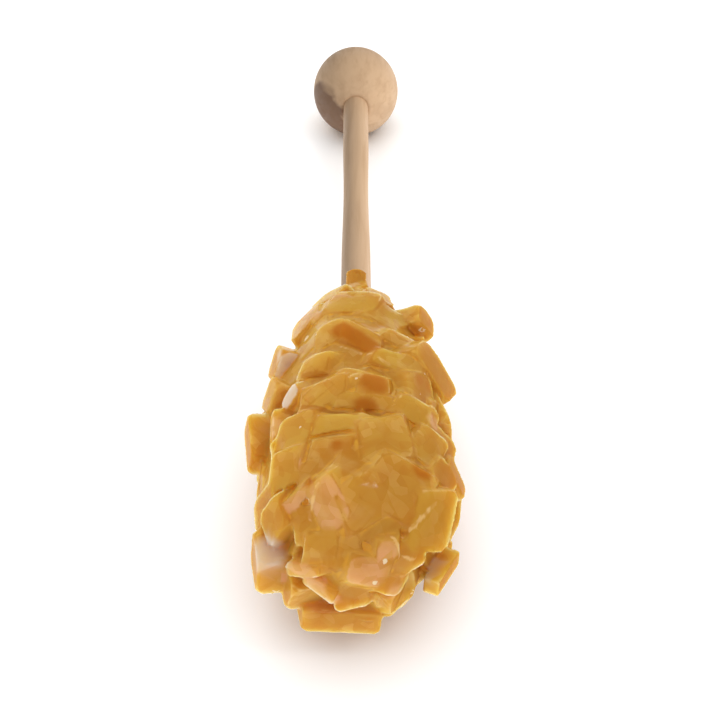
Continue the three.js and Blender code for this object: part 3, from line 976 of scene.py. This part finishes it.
def make_camera(settings):
    """The camera looks along the stick from beyond the candy's tip, and down on it."""
    distance, height, aside = 201.97 * MM, 127.2 * MM, -0.15 * MM  # from the ball's middle and the floor
    data = bpy.data.cameras.new("camera")
    data.lens = settings.lens
    data.sensor_width = 36
    data.clip_start, data.clip_end = 0.01, 20
    camera = bpy.data.objects.new("camera", data)
    camera.location = (BALL_MIDDLE.x + aside, BALL_MIDDLE.y - distance, height)
    camera.rotation_euler = (math.pi / 2 - settings.elevation, 0, 0)
    bpy.context.scene.collection.objects.link(camera)
    bpy.context.scene.camera = camera


def add_softbox(name, place, target, size, power, colour, mirrored=True, only=()):
    """A soft rectangular light that faces a target.

    It can be left out of what shiny surfaces mirror, and made to fall on only the objects named.
    """
    data = bpy.data.lights.new(name, "AREA")
    data.shape = "RECTANGLE"
    data.size, data.size_y = size
    data.energy = power
    data.color = colour
    light = bpy.data.objects.new(name, data)
    light.location = place
    light.rotation_euler = (Vector(target) - Vector(place)).to_track_quat("-Z", "Y").to_euler()
    light.visible_glossy = mirrored
    if only:
        lit = bpy.data.collections.new(name + "_falls_on")
        for thing in only:
            if thing in bpy.data.objects:
                lit.objects.link(bpy.data.objects[thing])
        light.light_linking.receiver_collection = lit
    bpy.context.scene.collection.objects.link(light)


def make_lights():
    """Soft lights, most of them only on the pieces that they are for, and a pale world."""
    centre = (CANDY_LOW + CANDY_HIGH) / 2
    sugar, floor, wood = ("candy_crystals",), ("floor",), ("dowel_rod", "turned_ball")
    white, cream, rose = (1.0, 1.0, 1.0), (1.0, 0.98, 0.95), (1.0, 0.92, 0.95)
    ball = BALL_MIDDLE
    add_softbox("key", (-0.1, 0.25, 0.8), centre, (1.4, 1.4), 4.6, cream, mirrored=False, only=sugar)
    add_softbox("floor_wash", (0, 0, 0.8), centre, (1.6, 1.6), 12, white, mirrored=False, only=floor)
    add_softbox("wood_key", (0.39, -0.1, 0.29), ball, (0.15, 0.15), 1.7, cream, mirrored=False, only=wood)
    add_softbox("front", (0.155, -0.61, 0.055), centre, (0.4, 0.16), 0.45, rose, only=sugar)
    add_softbox("front_left", (-0.5, -0.32, 0.19), centre, (0.3, 0.3), 0.45, cream, False, sugar)
    add_softbox("glint", (0.3, -0.15, 0.5), centre, (0.02, 0.15), 0.2, white)
    world = bpy.data.worlds.new("studio")
    world.use_nodes = True
    background = world.node_tree.nodes["Background"]
    background.inputs["Color"].default_value = (1.0, 0.99, 0.98, 1)
    background.inputs["Strength"].default_value = 0.54
    bpy.context.scene.world = world
    bpy.context.scene.view_settings.view_transform = "Standard"


# ---- Operators ----

class CANDY_OT_sugar(bpy.types.Operator):
    """Fuse the sugar crystals onto their core and give them their amber finish"""

    bl_idname = "rock_candy.sugar"
    bl_label = "Make Sugar Crystals"

    def execute(self, context):
        make_sugar(context.scene.candy_settings)
        return {"FINISHED"}


class CANDY_OT_dowel(bpy.types.Operator):
    """Turn the wooden dowel"""

    bl_idname = "rock_candy.dowel"
    bl_label = "Make Dowel"

    def execute(self, context):
        make_dowel(context.scene.wood_settings)
        return {"FINISHED"}


class CANDY_OT_ball(bpy.types.Operator):
    """Turn the wooden ball"""

    bl_idname = "rock_candy.ball"
    bl_label = "Make Ball"

    def execute(self, context):
        make_ball(context.scene.wood_settings)
        return {"FINISHED"}


class CANDY_OT_stage(bpy.types.Operator):
    """Set up the floor, the camera and the lights"""

    bl_idname = "rock_candy.stage"
    bl_label = "Make Stage"

    def execute(self, context):
        make_floor(context.scene.stage_settings)
        make_camera(context.scene.stage_settings)
        make_lights()
        return {"FINISHED"}


class CANDY_PT_panel(bpy.types.Panel):
    """The rock candy stick's settings and steps"""

    bl_label = "Rock Candy Stick"
    bl_idname = "CANDY_PT_panel"
    bl_space_type = "VIEW_3D"
    bl_region_type = "UI"
    bl_category = "Rock Candy"

    def draw(self, context):
        scene = context.scene
        for settings in (scene.candy_settings, scene.wood_settings, scene.stage_settings):
            box = self.layout.box()
            for name in settings.__annotations__:
                box.prop(settings, name)
        for operator in (CANDY_OT_sugar, CANDY_OT_dowel, CANDY_OT_ball, CANDY_OT_stage):
            self.layout.operator(operator.bl_idname)


CLASSES = (
    CandySettings, WoodSettings, StageSettings,
    CANDY_OT_sugar, CANDY_OT_dowel, CANDY_OT_ball, CANDY_OT_stage, CANDY_PT_panel,
)


def register():
    for kind in CLASSES:
        bpy.utils.register_class(kind)
    bpy.types.Scene.candy_settings = PointerProperty(type=CandySettings)
    bpy.types.Scene.wood_settings = PointerProperty(type=WoodSettings)
    bpy.types.Scene.stage_settings = PointerProperty(type=StageSettings)


def unregister():
    del bpy.types.Scene.stage_settings
    del bpy.types.Scene.wood_settings
    del bpy.types.Scene.candy_settings
    for kind in reversed(CLASSES):
        bpy.utils.unregister_class(kind)


def main():
    register()
    bpy.ops.rock_candy.sugar()
    bpy.ops.rock_candy.dowel()
    bpy.ops.rock_candy.ball()
    bpy.ops.rock_candy.stage()


if __name__ == "__main__":
    main()
